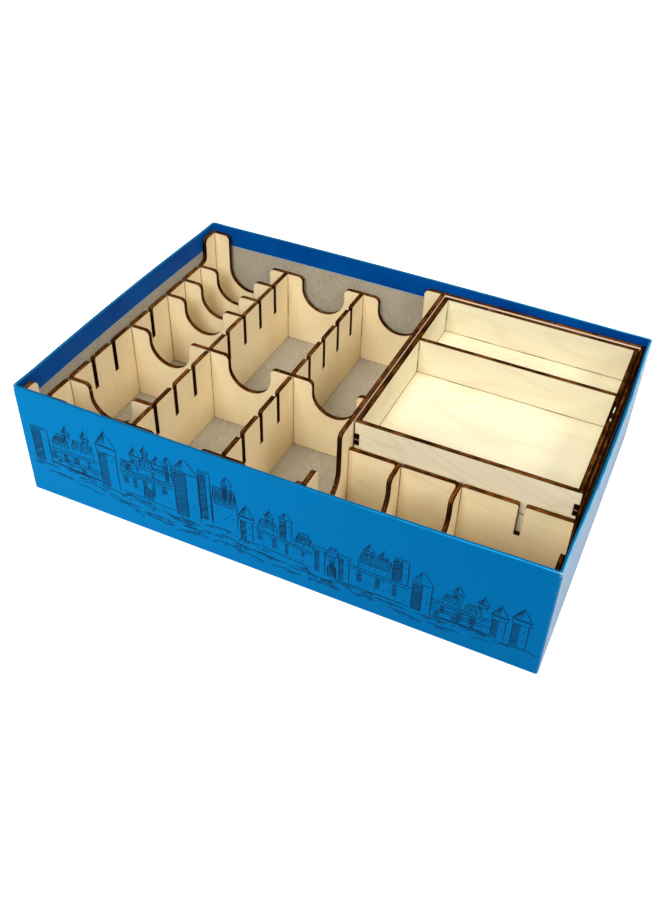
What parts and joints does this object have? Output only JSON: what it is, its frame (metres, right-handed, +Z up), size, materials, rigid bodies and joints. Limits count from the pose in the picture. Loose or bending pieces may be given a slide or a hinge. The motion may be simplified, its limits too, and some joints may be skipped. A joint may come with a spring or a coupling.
{
  "type": "box insert organizer",
  "caption": "Laser-cut birch plywood insert in a papered greyboard box base: slotted tile lanes with scooped dividers, a front bay and stacked lift-out trays.",
  "frame": {"origin": "centre of the box's underside", "axes": "+X along the long side towards the trays, +Y from the front wall to the rear wall, +Z up"},
  "size_m": [0.2706, 0.1866, 0.065],
  "materials": {
    "birch_plywood": "raw sanded birch faces with charred laser-cut edges",
    "greyboard": "bare grey chipboard, matte and speckled",
    "printed_paper": "blue printed paper with a thin gloss laminate",
    "kraft_tape": "gummed kraft tape"
  },
  "bodies": {
    "box": {"box_greyboard": "greyboard", "box_corner_stays": "kraft_tape", "box_wrap": "printed_paper", "box_underside_sheet": "printed_paper"},
    "frame": {"left_wall": "birch_plywood", "lane_wall_1": "birch_plywood", "lane_wall_2": "birch_plywood", "bay_wall": "birch_plywood", "right_wall": "birch_plywood", "rear_wall": "birch_plywood", "front_wall": "birch_plywood", "front_cross_wall": "birch_plywood", "mid_cross_wall": "birch_plywood", "bay_cross_wall": "birch_plywood"},
    "lower_tray": {"lower_tray_floor": "birch_plywood", "lower_tray_divider": "birch_plywood", "lower_tray_front": "birch_plywood", "lower_tray_rear": "birch_plywood", "lower_tray_left": "birch_plywood", "lower_tray_right": "birch_plywood"},
    "top_tray": {"top_tray_floor": "birch_plywood", "top_tray_divider": "birch_plywood", "top_tray_front": "birch_plywood", "top_tray_rear": "birch_plywood", "top_tray_left": "birch_plywood", "top_tray_right": "birch_plywood"},
    "lane_divider_1": {"lane_divider_1": "birch_plywood"},
    "lane_divider_2": {"lane_divider_2": "birch_plywood"},
    "lane_divider_3": {"lane_divider_3": "birch_plywood"},
    "lane_divider_4": {"lane_divider_4": "birch_plywood"},
    "bay_divider_1": {"bay_divider_1": "birch_plywood"},
    "bay_divider_2": {"bay_divider_2": "birch_plywood"}
  },
  "joints": [
    {"name": "frame_lift", "type": "slide", "parent": "box", "child": "frame", "axis": [0, 0, 1], "range_m": [0, 0.07]},
    {"name": "lower_tray_lift", "type": "slide", "parent": "frame", "child": "lower_tray", "axis": [0, 0, 1], "range_m": [0, 0.062]},
    {"name": "top_tray_lift", "type": "slide", "parent": "lower_tray", "child": "top_tray", "axis": [0, 0, 1], "range_m": [0, 0.026]},
    {"name": "lane_divider_1_lift", "type": "slide", "parent": "frame", "child": "lane_divider_1", "axis": [0, 0, 1], "range_m": [0, 0.048]},
    {"name": "lane_divider_2_lift", "type": "slide", "parent": "frame", "child": "lane_divider_2", "axis": [0, 0, 1], "range_m": [0, 0.048]},
    {"name": "lane_divider_3_lift", "type": "slide", "parent": "frame", "child": "lane_divider_3", "axis": [0, 0, 1], "range_m": [0, 0.048]},
    {"name": "lane_divider_4_lift", "type": "slide", "parent": "frame", "child": "lane_divider_4", "axis": [0, 0, 1], "range_m": [0, 0.048]},
    {"name": "bay_divider_1_lift", "type": "slide", "parent": "frame", "child": "bay_divider_1", "axis": [0, 0, 1], "range_m": [0, 0.048]},
    {"name": "bay_divider_2_lift", "type": "slide", "parent": "frame", "child": "bay_divider_2", "axis": [0, 0, 1], "range_m": [0, 0.048]}
  ]
}
